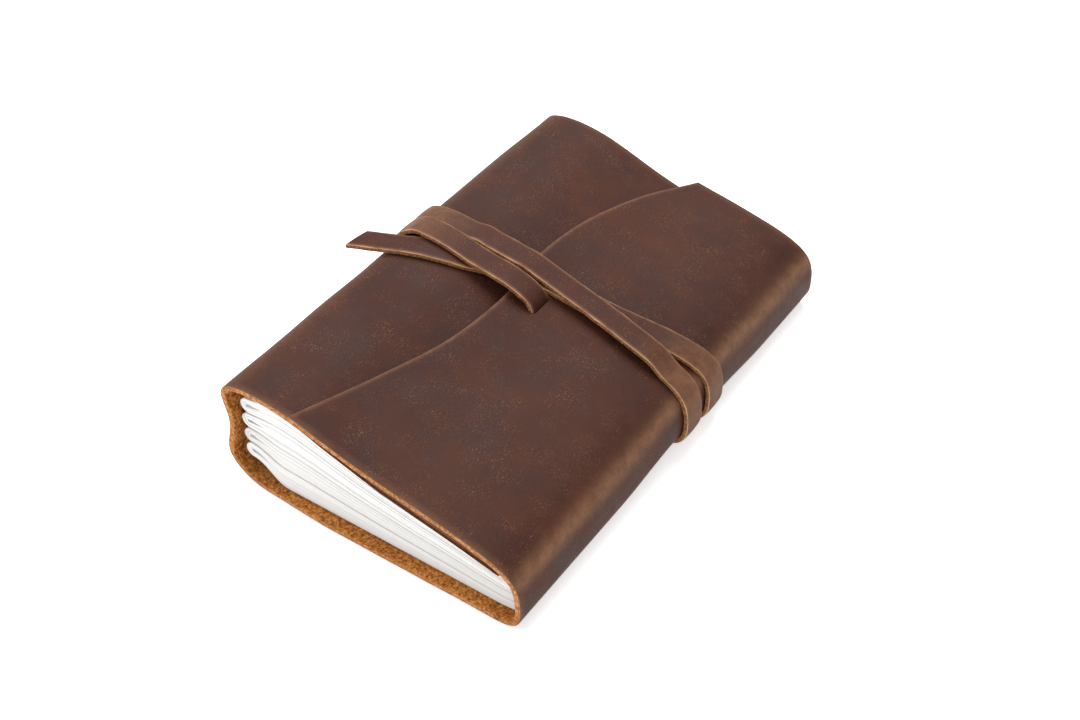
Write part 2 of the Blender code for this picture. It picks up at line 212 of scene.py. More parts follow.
def rim(count, radius):
    """Places across a band as fractions and extra distances, each with its distance into the
    rounded edge."""
    flat = np.linspace(-1, 1, count)
    fraction = np.concatenate([-np.ones(4), flat, np.ones(4)])
    extra = np.concatenate([-(radius * np.sin(ROUND))[::-1], np.zeros(count), radius * np.sin(ROUND)])
    return fraction, extra


def stations(start, end, step, radius, soft_start, soft_end):
    """Distances along a band, with each one's distance into a rounded end."""
    first = start + radius if soft_start else start
    last = end - radius if soft_end else end
    s = np.linspace(first, last, max(int((last - first) / step), 2) + 1)
    into = np.zeros(len(s))
    if soft_start:
        s = np.concatenate([(first - radius * np.sin(ROUND))[::-1], s])
        into = np.concatenate([(radius * np.sin(ROUND))[::-1], into])
    if soft_end:
        s = np.concatenate([s, last + radius * np.sin(ROUND)])
        into = np.concatenate([into, radius * np.sin(ROUND)])
    return s, into


def there_and_back(grid):
    """A grid of the outer face followed by the inner one, so that each row is a closed ring."""
    return np.concatenate([grid, grid[:, ::-1]], axis=1)


def join_rings(rings):
    """Quads between each ring of point numbers and the next."""
    here, there = rings[:-1], rings[1:]
    return np.stack([here, np.roll(here, -1, 1), np.roll(there, -1, 1), there], axis=-1).reshape(-1, 4)


def end_cap(ring):
    """Quads that close a flat ring."""
    last = len(ring) - 1
    return [[int(ring[i]) for i in (j, last - j, last - j - 1, j + 1)] for j in range(len(ring) // 2 - 1)]


def store(mesh, name, values):
    """Stores one number on each point."""
    stored = mesh.attributes.new(name, "FLOAT", "POINT")
    stored.data.foreach_set("value", np.ravel(values).astype(np.float32))


def band(name, s, y, depth, place, free_ends, wear_and_highlight, painted_shade=None):
    """A closed band. s, y and depth are grids of stations by places across, place turns them into
    points; the next grid is how much wear and painted highlight the finish has there, and the last
    how much painted shade darkens it where the flap covers it."""
    n, k = s.shape
    outer, inner = place(s, y, depth), place(s, y, -depth)
    rings = np.concatenate([outer, inner[:, ::-1]], axis=1)
    index = np.arange(n * 2 * k).reshape(n, 2 * k)
    quads = join_rings(index)
    thick = there_and_back(depth)
    thin = (thick < thick.max() * ROUNDED).reshape(-1)
    ring_place = np.tile(np.arange(2 * k), n - 1)
    kind = np.where(ring_place < k - 1, GRAIN, FLESH)
    kind[(ring_place == k - 1) | (ring_place == 2 * k - 1)] = CUT
    kind[thin[quads].all(axis=1)] = CUT
    caps, cap_kind = [], []
    for row, free, step in ((0, free_ends[0], 1), (n - 1, free_ends[1], -1)):
        caps += [cap[::step] for cap in end_cap(index[row])]
        cap_kind += [CUT if free else FLESH] * (k - 1)
    mesh = bpy.data.meshes.new(name)
    faces = [[int(v) for v in face] for face in [*quads, *caps]]
    points = rings.reshape(-1, 3)
    mesh.from_pydata(((points + [MIDDLE, 0, 0]) * MM).tolist(), [], faces)
    mesh.polygons.foreach_set("material_index", np.concatenate([kind, cap_kind]).astype(np.int32))
    # how much wear and painted highlight each point has
    store(mesh, "wear_and_highlight", there_and_back(wear_and_highlight))
    # how much painted shade darkens the cut edge under the flap
    store(mesh, "painted_shade", there_and_back(np.zeros_like(wear_and_highlight) if painted_shade is None else painted_shade))
    obj = bpy.data.objects.new(name, mesh)
    bpy.context.collection.objects.link(obj)
    return obj


def settle(obj, *finishes):
    """Points the faces outwards, shades the surface smooth but its corners sharp, and gives it its
    finishes."""
    bm = bmesh.new()
    bm.from_mesh(obj.data)
    bmesh.ops.recalc_face_normals(bm, faces=bm.faces)
    bm.to_mesh(obj.data)
    bm.free()
    obj.data.polygons.foreach_set("use_smooth", [True] * len(obj.data.polygons))
    obj.data.set_sharp_from_angle(angle=math.radians(50))
    kind = np.zeros(len(obj.data.polygons), np.int32)
    obj.data.polygons.foreach_get("material_index", kind)
    obj.data.materials.clear()
    for finish in finishes:
        obj.data.materials.append(finish)
    obj.data.polygons.foreach_set("material_index", kind)
    print(f"{obj.name}: {len(obj.data.polygons)} faces")
    return obj


# %% [markdown]
# ## Finishes: how a procedural material is put together
# A finish is a small graph of nodes. To keep the graphs readable, one helper adds a node, sets its
# inputs and links others into it. Patterns read Object coordinates, so neighbouring panels match
# across their seams as one hide does.

# %% Helpers for node graphs


class Graph:
    """Adds nodes to one tree and links them."""

    def __init__(self, tree):
        self.tree = tree

    def add(self, kind, output=0, props=None, **inputs):
        """Adds a node. Inputs are named as on the node, with _ for a space, or in0, in1 by place."""
        node = self.tree.nodes.new(kind)
        for key, value in (props or {}).items():
            setattr(node, key, value)
        for key, value in inputs.items():
            by_place = key[:2] == "in" and key[2:].isdigit()
            socket = node.inputs[int(key[2:]) if by_place else key.replace("_", " ")]
            if isinstance(value, bpy.types.NodeSocket):
                self.tree.links.new(value, socket)
            else:
                socket.default_value = value
        return node.outputs[output]

    def noise(self, where, scale, detail=4.0, rough=0.55):
        """Cloudy noise from 0 to 1."""
        return self.add("ShaderNodeTexNoise", Vector=where, Scale=scale, Detail=detail, Roughness=rough)

    def ramp(self, value, *stops):
        """A colour ramp with the given (place, colour) stops."""
        node = self.tree.nodes.new("ShaderNodeValToRGB")
        while len(node.color_ramp.elements) < len(stops):
            node.color_ramp.elements.new(0.5)
        for element, (at, colour) in zip(node.color_ramp.elements, stops):
            element.position = at
            element.color = (*colour, 1) if len(colour) == 3 else colour
        self.tree.links.new(value, node.inputs[0])
        return node.outputs[0]

    def band(self, value, low, high):
        """Runs from 0 at low to 1 at high."""
        return self.add("ShaderNodeMapRange", in0=value, in1=low, in2=high)

    def math(self, what, a, b=0.0):
        return self.add("ShaderNodeMath", props={"operation": what}, in0=a, in1=b)

    def vector(self, what, **inputs):
        return self.add("ShaderNodeVectorMath", props={"operation": what}, **inputs)

    def attribute(self, name):
        """A number that the mesh stores under this name, for a finish."""
        return self.add("ShaderNodeAttribute", output=2, props={"attribute_name": name})

    def stored(self, name, kind="FLOAT"):
        """A value that the mesh stores under this name, for a geometry tree."""
        return self.add("GeometryNodeInputNamedAttribute", props={"data_type": kind}, Name=name)

    def numbered(self, copies, name):
        """Stores each copy's number under this name."""
        number = self.add("GeometryNodeInputIndex")
        where = {"domain": "INSTANCE"}
        return self.add("GeometryNodeStoreNamedAttribute", props=where, Geometry=copies, Name=name, Value=number)

    def mix(self, share, a, b, blend="MIX"):
        """Mixes two colours."""
        node = self.tree.nodes.new("ShaderNodeMix")
        node.data_type = "RGBA"
        node.blend_type = blend
        for place, value in ((0, share), (6, a), (7, b)):
            if isinstance(value, bpy.types.NodeSocket):
                self.tree.links.new(value, node.inputs[place])
            else:
                node.inputs[place].default_value = value if place == 0 else (*value, 1)
        return node.outputs[2]

    def stretched(self, where, scale, turn=(0, 0, 0)):
        """The same coordinates, turned and stretched."""
        return self.add("ShaderNodeMapping", Vector=where, Rotation=turn, Scale=scale)

    def bump(self, height, distance, strength, under=None):
        node = self.tree.nodes.new("ShaderNodeBump")
        node.inputs["Strength"].default_value = strength
        node.inputs["Distance"].default_value = distance
        self.tree.links.new(height, node.inputs["Height"])
        if under is not None:
            self.tree.links.new(under, node.inputs["Normal"])
        return node.outputs[0]


def new_finish(name, rough, **sockets):
    """A material with a Principled shader, and its graph."""
    finish = bpy.data.materials.new(name)
    finish.use_nodes = True
    shader = finish.node_tree.nodes["Principled BSDF"]
    shader.inputs["Roughness"].default_value = rough
    for key, value in sockets.items():
        shader.inputs[key.replace("_", " ")].default_value = value
    return finish, Graph(finish.node_tree), shader


def wire(graph, shader, **sockets):
    for key, value in sockets.items():
        graph.tree.links.new(value, shader.inputs[key.replace("_", " ")])


# %% [markdown]
# ## Oiled hide
# Oily pull-up leather is dark brown and clouded. Where it bends, the oil moves away and it turns
# lighter and warmer, and scuffs and small pale specks show. So the colour is built in layers: wide
# clouds, small clouds, specks, scratches, and then the rubbed colour where the mesh says it is worn.
# That colour is also a painted highlight on the bend into the flap, and the rims get a pale painted
# highlight line.
# The relief is fine wrinkled grain, from two Voronoi layers and noise.

# %% The grain side, for the hide and the strap
DARK, MIDDLE_BROWN, WARM = (0.032, 0.0100, 0.0066), (0.051, 0.0165, 0.0105), (0.078, 0.0270, 0.0150)
# the colour of wear at the bends, also used as a painted highlight, and a pale painted highlight for the rims
WORN_AND_LIT, RIM_HIGHLIGHT = (0.25, 0.122, 0.064), (0.50, 0.30, 0.17)


def grain_finish(name, lift, wear_and_highlight_share):
    """Oiled leather. lift brightens it, and the share says how much the places of wear and painted highlight
    show.
    """
    finish, g, shader = new_finish(name, 0.5, Specular_IOR_Level=0.14)
    where = g.add("ShaderNodeTexCoord", output=3)
    wide = g.noise(where, 16.0, 5.0, 0.6)
    small = g.noise(where, 85.0, 8.0, 0.62)
    base = g.ramp(wide, (0.32, DARK), (0.5, MIDDLE_BROWN), (0.72, WARM))
    clouded = g.mix(g.band(small, 0.36, 0.68), g.mix(0.55, base, DARK), g.mix(0.35, base, WARM))
    hue = g.noise(g.stretched(where, (1, 1, 1), (0.4, 0.9, 0.2)), 30.0, 3.0)
    tinted = g.mix(g.band(hue, 0.45, 0.7), clouded, g.mix(1.0, clouded, (1.12, 0.97, 0.86), "MULTIPLY"))
    specks = g.band(g.noise(where, 2400.0, 2.0, 0.5), 0.58, 0.70)
    patches = g.band(g.noise(where, 110.0, 4.0, 0.65), 0.44, 0.64)
    flecks = g.math("MULTIPLY", g.math("MULTIPLY", specks, patches), 0.6)
    flecked = g.mix(flecks, tinted, (0.27, 0.125, 0.055))
    lines = g.stretched(where, (1, 0.05, 1), (0, 0, 0.5))
    scratch = g.band(g.noise(lines, 700.0, 3.0, 0.6), 0.66, 0.76)
    crossing = g.stretched(where, (0.05, 1, 1), (0, 0, -0.35))
    scratch_two = g.band(g.noise(crossing, 620.0, 3.0, 0.6), 0.67, 0.77)
    either = g.math("MAXIMUM", scratch, scratch_two)
    scratches = g.math("MULTIPLY", either, g.band(g.noise(where, 40.0, 2.0), 0.42, 0.7))
    scuffed = g.mix(g.math("MULTIPLY", scratches, 0.3), flecked, (0.13, 0.066, 0.04))
    # how much wear and painted highlight the mesh stores here
    wear_and_highlight_here = g.attribute("wear_and_highlight")
    uneven = g.add("ShaderNodeMapRange", in0=g.noise(where, 260.0, 6.0, 0.7), in1=0.34, in2=0.6, in3=0.55)
    patchy_wear_and_highlight = g.math("MULTIPLY", wear_and_highlight_here, uneven)
    # the colour of wear, which also paints the highlight on the bend into the flap
    worn_and_lit = g.mix(g.math("MULTIPLY", patchy_wear_and_highlight, wear_and_highlight_share), scuffed, WORN_AND_LIT)
    # a pale painted highlight line along the rims, where the stored value passes 1
    rim_highlighted = g.mix(g.band(wear_and_highlight_here, 1.0, 2.0), worn_and_lit, RIM_HIGHLIGHT)
    colour = g.mix(1.0, rim_highlighted, (lift, lift, lift), "MULTIPLY")
    cells = g.add("ShaderNodeTexVoronoi", Vector=where, Scale=1150.0)
    fine = g.add("ShaderNodeTexVoronoi", Vector=where, Scale=2300.0)
    wrinkles = g.noise(where, 420.0, 6.0, 0.65)
    fine_wrinkles = g.math("ADD", g.math("MULTIPLY", fine, 0.25), wrinkles)
    height = g.math("ADD", g.math("MULTIPLY", cells, 0.5), fine_wrinkles)
    dents = g.bump(g.noise(where, 55.0, 3.0), 0.0016, 0.12)
    relief = g.bump(height, 0.00016, 0.6, under=dents)
    roughness = g.add("ShaderNodeMapRange", in0=small, in1=0.3, in2=0.7, in3=0.5, in4=0.68)
    wire(g, shader, Base_Color=colour, Roughness=roughness, Normal=relief)
    return finish


hide_grain = grain_finish("hide_grain", 1.0, 0.75)
strap_grain = grain_finish("strap_grain", 1.12, 0.85)

# %% [markdown]
# ## Flesh side and cut edge
# The inside of the hide is suede: orange-brown, matt, and made of loose fibres with dark gaps. The
# cut edge is paler. Both are rough and need deeper relief than the grain side, because the fibres
# throw tiny shadows. Under the flap the front cover's edge gets painted shade: it is darkened where
# the flap's shadow falls on it.

# %% Suede and the cut edge


def suede_finish(name, deep, body, pale, scale, takes_painted_shade=True):
    """Loose fibres of leather. A cut edge can take painted shade, darker where the flap shadows it."""
    finish, g, shader = new_finish(name, 0.95, Specular_IOR_Level=0.1)
    where = g.add("ShaderNodeTexCoord", output=3)
    fibres = g.noise(where, scale, 6.0, 0.75)
    pits = g.noise(where, scale * 0.45, 3.0, 0.6)
    clouds = g.noise(where, 90.0, 4.0)
    colour = g.ramp(fibres, (0.34, deep), (0.5, body), (0.66, pale))
    shaded = g.mix(g.math("MULTIPLY", g.band(pits, 0.56, 0.68), 0.6), colour, deep)
    toned = g.mix(g.band(clouds, 0.35, 0.7), shaded, g.mix(1.0, shaded, (0.84, 0.80, 0.76), "MULTIPLY"))
    # painted shade: the cut edge is darkened where the flap's shadow falls on it
    if takes_painted_shade:
        toned = g.mix(g.attribute("painted_shade"), toned, g.mix(1.0, toned, (0.16, 0.115, 0.09), "MULTIPLY"))
    relief = g.bump(g.math("ADD", fibres, pits), 0.0007, 0.8)
    wire(g, shader, Base_Color=toned, Normal=relief)
    return finish


FLESH_TONES = (0.10, 0.026, 0.005), (0.50, 0.180, 0.036), (0.80, 0.40, 0.13)
hide_flesh = suede_finish("hide_flesh", *FLESH_TONES, 950.0, takes_painted_shade=False)
hide_cut = suede_finish("hide_cut", (0.20, 0.070, 0.022), (0.52, 0.22, 0.085), (0.74, 0.42, 0.21), 1150.0)
strap_cut = suede_finish("strap_cut", (0.13, 0.052, 0.022), (0.33, 0.150, 0.065), (0.52, 0.28, 0.14), 1300.0)

# %% [markdown]
# ## The hide
# The hide is one piece, but each of its four bends opens on its own hinge. So it is made as four
# bands that meet in the middle of a panel, where nothing bends.
# The front cover and the spine were cut a little shorter than the rest, and the cut is never
# perfectly straight, so the ends wander by a fraction of a millimetre.

# %% Where each point of the hide is
FLAP_EDGE = [(-87.5, -25.3), (-58, -17), (-32, -10.6), (-5, -8.6), (20, -10.8), (42, -8.7)]
FLAP_EDGE += [(67, -1.5), (87.5, 8.5)]  # the flap's free edge, as (y, x)
EDGE_ROUND = 0.5
FLAT_Y = 7.9  # the strap's side of the book stays flat, so that the strap lies on it


def half_of_hide(s):
    """Half the hide's length along the spine, at a distance s round it."""
    from_back = (s - BENDS["back"]) / (0.4 * (BENDS["fore_edge"] - BENDS["back"]))
    return COVER_HALF + (BODY_HALF - COVER_HALF) * ease(from_back)


def wander(s, y):
    """How far the cut edge strays, in millimetres."""
    return np.vectorize(lambda a, b: 0.32 * noise.noise(Vector((a / 21, np.sign(b) * 3, 0))))(s, y)


def ripple(x, y):
    """A slow rise and fall of the leather, none of it near the strap."""
    calm = ease((abs(y - FLAT_Y) - 12) / 22)
    waves = np.vectorize(lambda a, b: noise.noise(Vector((a / 34, b / 27, 1.7))))(x, y)
    return 0.42 * calm * waves


def on_hide(s, y, depth):
    """Points at a distance s round the hide and y along the spine, depth off its middle layer."""
    base = np.stack([np.interp(s, hide_length, hide_path[:, i]) for i in (0, 1)], axis=-1)
    side = np.stack([np.interp(s, hide_length, hide_side[:, i]) for i in (0, 1)], axis=-1)
    under = base[..., 1] < 6
    off = depth - HIDE / 2 + np.where(under, 0, ripple(base[..., 0], y))
    flat = base + side * off[..., None]
    return pressed(np.stack([flat[..., 0], y, flat[..., 1]], axis=-1))


# how much each bend lightens: wear, with a painted highlight on the bend into the flap
WORN_AND_LIT_BENDS = [("flap", 0.95, 3.2), ("fore_edge", 0.3, 3.0), ("spine", 0.32, 5.0), ("back", 0.5, 4.0)]


def wear_and_highlight_of_hide(s, y, half):
    """How much wear and painted highlight the hide has: most at the bend into the flap, which gets both, and
    along its cut edges, where a pale painted highlight line runs.
    """
    wear_and_highlight_here = np.zeros_like(s)
    for bend, share, wide in WORN_AND_LIT_BENDS:
        wear_and_highlight_here = np.maximum(wear_and_highlight_here, share * np.exp(-(((s - BENDS[bend]) / wide) ** 2)))
    # a pale painted highlight line along the hide's cut edges
    return np.maximum(wear_and_highlight_here, 1.5 * np.exp(-((half - abs(y)) / 0.4)))


# %% Make the four bands
EDGE_Y, EDGE_X = smooth(FLAP_EDGE, 1.0).T
COVERED_UPTO = (-24, 36.6)
SEAMS = {
    "spine": reach(-52.0, 21.2),
    "back": reach(0, 0),
    "fore_edge": reach(54.8, 9.5),
}


flap_from = int(np.argmin(abs(hide_length - BENDS["flap"])))


def along_flap(x):
    """How far along the hide the flap is at x."""
    return np.interp(-x, -hide_path[flap_from:, 0], hide_length[flap_from:])


def hide_band(name, start, end, soft_start=False, soft_end=False, flap=False):
    """One band of the hide between two distances round it."""
    fraction, extra = rim(78, EDGE_ROUND)
    row, into = stations(start, end, 1.35, EDGE_ROUND, soft_start, soft_end)
    s = np.repeat(row[:, None], len(fraction), axis=1)
    y = fraction[None, :] * (half_of_hide(s) - EDGE_ROUND) + extra[None, :]
    if flap:
        edge_s = along_flap(np.interp(y[-1], EDGE_Y, EDGE_X))
        s = start + (s - start) * (edge_s[None, :] - start) / (end - start)
    half = half_of_hide(s)
    y = y + fraction[None, :] ** 3 * abs(wander(s, y)) * -1.0
    inside = np.maximum(EDGE_ROUND**2 - extra[None, :] ** 2 - into[:, None] ** 2, 0)
    depth = HIDE / 2 - EDGE_ROUND + np.sqrt(inside)
    wear_and_highlight = wear_and_highlight_of_hide(s, y, half)
    # a pale painted highlight line along the flap's free edge
    if flap:
        wear_and_highlight = np.maximum(wear_and_highlight, 1.3 * np.exp(-(edge_s[None, :] - s) / 0.5))
    # Painted shade: the front cover's edge is darkened where the flap lies over it and shadows it.
    painted_shade = ease((reach(*COVERED_UPTO) - s) / 6) if soft_start else None
    return band(name, s, y, depth, on_hide, (soft_start, soft_end), wear_and_highlight, painted_shade)


flap_end = float(hide_length[-1])
cover_band = hide_band("hide_front_cover", 0, SEAMS["spine"], soft_start=True)
back_band = hide_band("hide_back_cover", SEAMS["spine"], SEAMS["back"])
fore_band = hide_band("hide_fore_edge", SEAMS["back"], SEAMS["fore_edge"])
flap_band = hide_band("hide_flap", SEAMS["fore_edge"], flap_end, soft_end=True, flap=True)

# %% [markdown]
# ## Slit and awl holes
# The strap comes out through a slit that a knife made in the flap, and the thread goes through awl
# holes in the spine. Both are cut with Boolean modifiers. The cutter carries the cut edge's finish
# in the third slot, so the walls of the cut get it.

# %% Cut the slit and the holes
SLIT_X, SLIT_Y, SLIT_WIDE, SLIT_LONG = 1.0, 0.4, 3.3, 10.2
FOLD_X, FOLD_Z, FOLD_PITCH, FOLD_R = -45.4, 12.0, 6.1, 2.75
STITCH_HOLES = [-64.0, -36.0, 36.0, 64.0]
AWL = 0.75  # the radius of an awl hole


def carve(obj, bm):
    """Cuts a shape out of a band."""
    bmesh.ops.recalc_face_normals(bm, faces=bm.faces)
    mesh = bpy.data.meshes.new("cutter")
    bm.to_mesh(mesh)
    bm.free()
    for finish in (hide_grain, hide_flesh, hide_cut):
        mesh.materials.append(finish)
    mesh.polygons.foreach_set("material_index", [CUT] * len(mesh.polygons))
    cutter = bpy.data.objects.new("cutter", mesh)
    bpy.context.collection.objects.link(cutter)
    boolean = obj.modifiers.new("cut", "BOOLEAN")
    boolean.operation, boolean.solver, boolean.object = "DIFFERENCE", "EXACT", cutter
    shape = bpy.data.meshes.new_from_object(obj.evaluated_get(bpy.context.evaluated_depsgraph_get()))
    obj.modifiers.clear()
    obj.data = shape
    bpy.data.objects.remove(cutter)


slit = bmesh.new()
slit_z = float(np.interp(-SLIT_X, -hide_path[flap_from:, 0], hide_path[flap_from:, 1]))
SLIT_ROUND = 1.2
outline = []
for a in np.radians(np.arange(7.5, 360, 15)):
    end_y = SLIT_Y + math.copysign(SLIT_LONG / 2 - SLIT_ROUND, math.sin(a))
    outline.append((SLIT_X + SLIT_WIDE / 2 * math.cos(a), end_y + SLIT_ROUND * math.sin(a)))
top = [slit.verts.new(((x + MIDDLE) * MM, y * MM, (slit_z + 6) * MM)) for x, y in outline]
low = [slit.verts.new(((x + MIDDLE) * MM, y * MM, (slit_z - 6) * MM)) for x, y in outline]
slit.faces.new(top)
slit.faces.new(low[::-1])
for i in range(len(top)):
    j = (i + 1) % len(top)
    slit.faces.new((top[i], low[i], low[j], top[j]))
for obj in (cover_band, back_band, fore_band, flap_band):
    for finish in (hide_grain, hide_flesh, hide_cut):
        obj.data.materials.append(finish)
carve(flap_band, slit)


def awl_holes(bundles):
    """Round cutters through the spine for these bundles."""
    bm = bmesh.new()
    for k in bundles:
        for y in STITCH_HOLES:
            at = pressed(np.array([-52.5, y, FOLD_Z + k * FOLD_PITCH]))
            size = {"radius1": AWL * MM, "radius2": AWL * MM, "depth": 9 * MM}
            made = bmesh.ops.create_cone(bm, cap_ends=True, segments=16, **size)
            for v in made["verts"]:
                x, across, z = v.co
                v.co = (z + (at[0] + MIDDLE) * MM, across + at[1] * MM, at[2] * MM - x)
    return bm


carve(cover_band, awl_holes((2, 3)))
carve(back_band, awl_holes((0, 1)))
for obj in (cover_band, back_band, fore_band, flap_band):
    settle(obj, hide_grain, hide_flesh, hide_cut)

# %% [markdown]
# ## The strap's way round
# The strap is one thing from the slit to its tip. Its way is laid out stretch by stretch on the
# same outline: over the front cover, straight down the hollow spine, under the book, up, and over
# again. Where it crosses itself, the upper turn is lifted by one thickness. The stretches are then
# joined, spaced evenly, and smoothed like a real strap that can't turn a sharp corner.

# %% Lay out the strap
AIR = 0.3
RISE = STRAP + AIR
FIRST_TURN = [(14, 0.4), (1, 0.1), (-4, 0.4), (-12, 1.2), (-24, 2.2), (-36, 3.0), (-48, 3.5), (-54, 3.6)]
SECOND_TURN = [(55, 4.6), (46, 4.8), (34, 6.2), (22, 7.9), (10, 9.4), (-4, 10.6), (-24, 11.8), (-54, 12.9)]
LAST_TURN = [(55, 17.9), (46, 15.8), (38, 14.4), (30, 12.9), (22, 11.4), (14, 10.6), (5, 10.2), (0, 9.9)]
LAST_TURN += [(-4, 9.2), (-12, 6.4), (-24, 1.7), (-36, -2.8), (-44, -5.6), (-52, -8.1), (-64, -11.7)]
SLIT_CLIMB = [(14.0, -3.6), (9.0, -3.6), (6.0, -3.75), (4.0, -3.6), (2.9, -3.4), (2.1, -2.5)]
SLIT_CLIMB += [(1.6, -1.2), (1.2, 0.2), (0.6, 1.2), (-0.6, 2.1), (-2.8, 2.9)]
FIRST_OVER, SECOND_OVER, RAMP = (-45.0, 20.0), (-27.0, 39.0), 8.0
BRIDGE = (-10.2, -25.0)
TAIL_LEAVES, TAIL_TIP = -46.0, np.array([(-53.0, 39.4), (-58.5, 38.9), (-64.0, 38.2)])


def table(pairs, x):
    """Reads a list of (x, value) pairs at x."""
    pairs = sorted(pairs)
    return np.interp(x, [a for a, _ in pairs], [b for _, b in pairs])


def window(x, span):
    """1 inside the span, falling to 0 outside it."""
    return ease(1 - np.maximum(span[0] - x, x - span[1]) / RAMP)


def stretch(name, upto):
    """The hide's outside between two bends."""
    stop = BENDS[upto] if upto else hide_length[-1]
    return hide_path[(hide_length >= BENDS[name] - 1e-6) & (hide_length <= stop + 1e-6)]


flap_line, cover_line = stretch("flap", None), stretch("front", "spine")
spine_line = stretch("spine", "back")
over_line = np.concatenate([flap_line[flap_line[:, 0] > BRIDGE[0]], cover_line[cover_line[:, 0] < BRIDGE[1]]])
taut_line = spine_line[(spine_line[:, 1] > 29.2) | (spine_line[:, 1] < 13.6)]
back_line, fore_line = stretch("back", "fore_edge"), stretch("fore_edge", "flap")


def lifted(line, lift):
    return line + outward(line) * np.broadcast_to(lift, len(line))[:, None]


def ramped(line, start, end):
    return np.interp(lengths(line), [0, lengths(line)[-1]], [start, end])


base = STRAP / 2 + AIR
flap_out = outward(flap_line)
climb = []
for x, off in SLIT_CLIMB:
    raised = flap_line + off * flap_out
    climb.append([np.interp(-x, -flap_line[:, 0], raised[:, i]) for i in (0, 1)])
rest = over_line[over_line[:, 0] < -5]
first = np.concatenate([climb, lifted(rest, base + RISE * window(rest[:, 0], FIRST_OVER))])
second = lifted(over_line, base + RISE * window(over_line[:, 0], SECOND_OVER))
tail = np.concatenate([lifted(over_line[over_line[:, 0] > TAIL_LEAVES], base), TAIL_TIP])
down, under, up = lifted(taut_line, base), lifted(back_line, base), lifted(fore_line, base)
RUNS = [
    ("flap", first, table(FIRST_TURN, first[:, 0])),
    ("strap_spine_1", down, ramped(down, 3.6, 3.6)),
    ("strap_under_1", under, ramped(under, 3.6, 4.6)),
    ("strap_fore_edge_1", up, ramped(up, 4.6, 4.6)),
    ("strap_top_2", second, table(SECOND_TURN, second[:, 0])),
    ("strap_spine_2", down, ramped(down, 12.9, 12.9)),
    ("strap_under_2", under, ramped(under, 12.9, 17.9)),
    ("strap_fore_edge_2", up, ramped(up, 17.9, 17.9)),
    ("strap_tail", tail, table(LAST_TURN, tail[:, 0])),
]


def softened(values, spread, spacing):
    """A moving average with a bell-shaped weight, its ends held."""
    width = int(4 * spread / spacing)
    weight = np.exp(-0.5 * (np.arange(-width, width + 1) * spacing / spread) ** 2)
    padded = np.pad(values, width, mode="reflect", reflect_type="odd")
    return np.convolve(padded, weight / weight.sum(), mode="valid")


way = np.concatenate([np.column_stack([line[:, 0], y, line[:, 1]]) for _, line, y in RUNS])
way_length = lengths(way)
counts = np.cumsum([len(line) for _, line, _ in RUNS])
bend_at = [(way_length[c - 1] + way_length[c]) / 2 for c in counts[:-1]]
SPACING = 0.75
even = np.arange(0, way_length[-1], SPACING)
spread_by_axis = (0.95, 3.0, 0.95)
evened = [np.interp(even, way_length, way[:, i]) for i in range(3)]
line = np.stack([softened(evened[i], spread_by_axis[i], SPACING) for i in range(3)], axis=1)
line = pressed(line)
print(f"the strap is {lengths(line)[-1]:.0f} mm long and turns {len(bend_at)} corners")

# %% [markdown]
# ## The strap itself
# A moving frame carries the band along its way: the first direction is along the way, the second
# across the strap and the third away from the book. The band is then cut at the middle of each
# stretch, so that each piece turns just one corner. The tip is cut at a slant.

# %% Make the strap
TIP_CUT, TIP_LONG, STRAP_ROUND = 4.2, 12.0, 0.35
forward = np.gradient(line, axis=0)
forward /= np.linalg.norm(forward, axis=1)[:, None]
across = np.array([0, 1.0, 0]) - forward * forward[:, 1:2]
across /= np.linalg.norm(across, axis=1)[:, None]
away = np.cross(across, forward)
away *= np.sign(away[:, 2] * -forward[:, 0] + away[:, 0] * forward[:, 2])[:, None]
strap_end = float(even[-1])


def on_strap(s, v, depth):
    """Points at a distance s along the strap, v across it and depth off its middle layer."""
    slant = TIP_CUT * np.clip((s - strap_end) / TIP_LONG + 1, 0, 1) * (v / STRAP_WIDE + 0.5)
    s = s - slant
    at = []
    for field in (line, across, away):
        at.append(np.stack([np.interp(s, even, field[:, i]) for i in range(3)], axis=-1))
    crown = -0.22 * (2 * v / STRAP_WIDE) ** 2 * (depth > 0)
    return at[0] + at[1] * v[..., None] + at[2] * (depth + crown)[..., None]


def strap_piece(name, start, end, soft_start, soft_end):
    """The strap between two distances along it."""
    fraction, extra = rim(13, STRAP_ROUND)
    row, into = stations(start, end, 0.8, STRAP_ROUND, soft_start, soft_end)
    s = np.repeat(row[:, None], len(fraction), axis=1)
    v = fraction[None, :] * (STRAP_WIDE / 2 - STRAP_ROUND) + extra[None, :]
    fray = np.vectorize(lambda a, b: 0.16 * noise.noise(Vector((a / 5, np.sign(b) * 5, 4))))(s, v)
    v = v + fraction[None, :] ** 5 * fray
    inside = np.maximum(STRAP_ROUND**2 - extra[None, :] ** 2 - into[:, None] ** 2, 0)
    depth = STRAP / 2 - STRAP_ROUND + np.sqrt(inside)
    wear_and_highlight = np.zeros_like(s)
    for corner in bend_at:
        wear_and_highlight = np.maximum(wear_and_highlight, 0.45 * np.exp(-(((s - corner) / 7.0) ** 2)))
    for corner in bend_at[::4] + bend_at[3::4]:  # the bends at the top, where hands rub
        wear_and_highlight = np.maximum(wear_and_highlight, 0.6 * np.exp(-(((s - corner) / 16.0) ** 2)))
    # a pale painted highlight line along the strap's rims
    wear_and_highlight = np.maximum(wear_and_highlight, 2.4 * np.exp(-((STRAP_WIDE / 2 - abs(v)) / 0.3)))
    return band(name, s, v, depth, on_strap, (soft_start, soft_end), wear_and_highlight)


